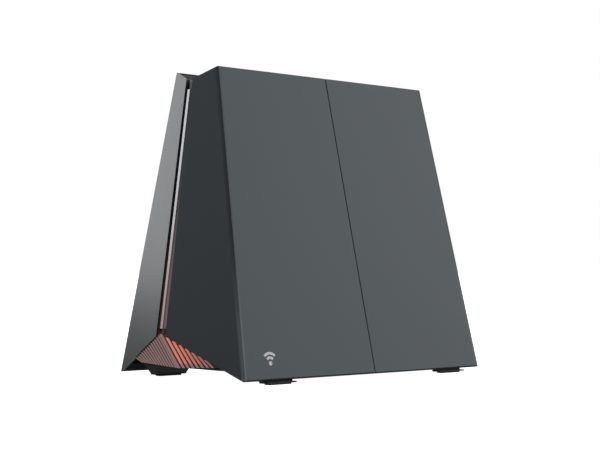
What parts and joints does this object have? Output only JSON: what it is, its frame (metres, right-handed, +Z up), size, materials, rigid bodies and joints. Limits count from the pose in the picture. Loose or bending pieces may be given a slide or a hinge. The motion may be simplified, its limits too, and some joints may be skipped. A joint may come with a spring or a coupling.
{
  "type": "wireless router",
  "caption": "Tower wireless router: two leaning cover wings over a chassis, ribbed lit side vents, rear port bay with push buttons, cooling fan and four feet.",
  "frame": {"origin": "on the resting surface, below the middle of the base", "axes": "+X along the width, to the right seen from the front; -Y out of the front panel; +Z up"},
  "size_m": [0.303, 0.1611, 0.248],
  "materials": {
    "wing_paint": "fine satin texture, charcoal grey",
    "black_plastic": "matte moulded black",
    "spine_silver": "brushed silver strip",
    "light_pipe": "frosted light guide",
    "vent_slats": "copper red moulded slats",
    "glow_web": "lit red diffuser",
    "rubber": "matte rubber",
    "circuit_board": "dark green solder mask",
    "chip_black": "moulded epoxy",
    "thermal_pad": "soft grey pad",
    "heatsink_metal": "extruded aluminium",
    "shield_tin": "tin-plated steel",
    "socket_metal": "nickel-plated shell",
    "socket_black": "moulded black",
    "wan_red": "moulded red",
    "button_black": "polished black",
    "screw_steel": "zinc-plated steel",
    "mark_white": "pad-printed pale grey",
    "led_white": "white board with lamps"
  },
  "bodies": {
    "housing": {"antennas": "circuit_board", "base_tray": "black_plastic", "board_posts": "black_plastic", "board_screws": "screw_steel", "button_board": "circuit_board", "chassis": "black_plastic", "chips": "chip_black", "cover_screws": "screw_steel", "fan_housing": "black_plastic", "fan_screws": "screw_steel", "foot_pads": "rubber", "front_cover_left": "wing_paint", "front_cover_right": "wing_paint", "heatsink_front": "heatsink_metal", "heatsink_rear": "heatsink_metal", "io_board": "circuit_board", "io_plate": "black_plastic", "lan_jacks": "socket_black", "led_strip_left": "led_white", "led_strip_right": "led_white", "light_pipe_left": "light_pipe", "light_pipe_right": "light_pipe", "main_board": "circuit_board", "power_inlet": "socket_black", "rear_cover": "wing_paint", "rf_shields": "shield_tin", "riser_connector": "socket_black", "seam_strip": "black_plastic", "sfp_cage": "socket_metal", "shield_pads": "thermal_pad", "side_rail_left": "black_plastic", "side_rail_right": "black_plastic", "side_spine_left": "spine_silver", "side_spine_right": "spine_silver", "signal_mark": "mark_white", "tact_switches": "chip_black", "thermal_pads": "thermal_pad", "top_grille": "black_plastic", "usb_ports": "socket_metal", "vent_diffuser_left": "glow_web", "vent_diffuser_right": "glow_web", "vent_ribs_left": "vent_slats", "vent_ribs_right": "vent_slats", "wan_jack": "wan_red"},
    "power_button": {"power_button": "button_black"},
    "wifi_button": {"wifi_button": "button_black"},
    "wps_button": {"wps_button": "button_black"},
    "light_button": {"light_button": "button_black"},
    "reset_button": {"reset_button": "button_black"},
    "fan_rotor": {"fan_rotor": "black_plastic"}
  },
  "joints": [
    {"name": "power_button_press", "type": "slide", "parent": "housing", "child": "power_button", "axis": [0, -1, 0], "range_m": [0, 0.0012], "stiffness_N_per_m": 400},
    {"name": "wifi_button_press", "type": "slide", "parent": "housing", "child": "wifi_button", "axis": [0, -1, 0], "range_m": [0, 0.0012], "stiffness_N_per_m": 400},
    {"name": "wps_button_press", "type": "slide", "parent": "housing", "child": "wps_button", "axis": [0, -1, 0], "range_m": [0, 0.0012], "stiffness_N_per_m": 400},
    {"name": "light_button_press", "type": "slide", "parent": "housing", "child": "light_button", "axis": [0, -1, 0], "range_m": [0, 0.0012], "stiffness_N_per_m": 400},
    {"name": "reset_button_press", "type": "slide", "parent": "housing", "child": "reset_button", "axis": [0, -1, 0], "range_m": [0, 0.0012], "stiffness_N_per_m": 400},
    {"name": "fan_spin", "type": "hinge", "parent": "housing", "child": "fan_rotor", "pos_m": [0, -0.03, 0.02], "axis": [0, 0, 1], "continuous": true}
  ]
}
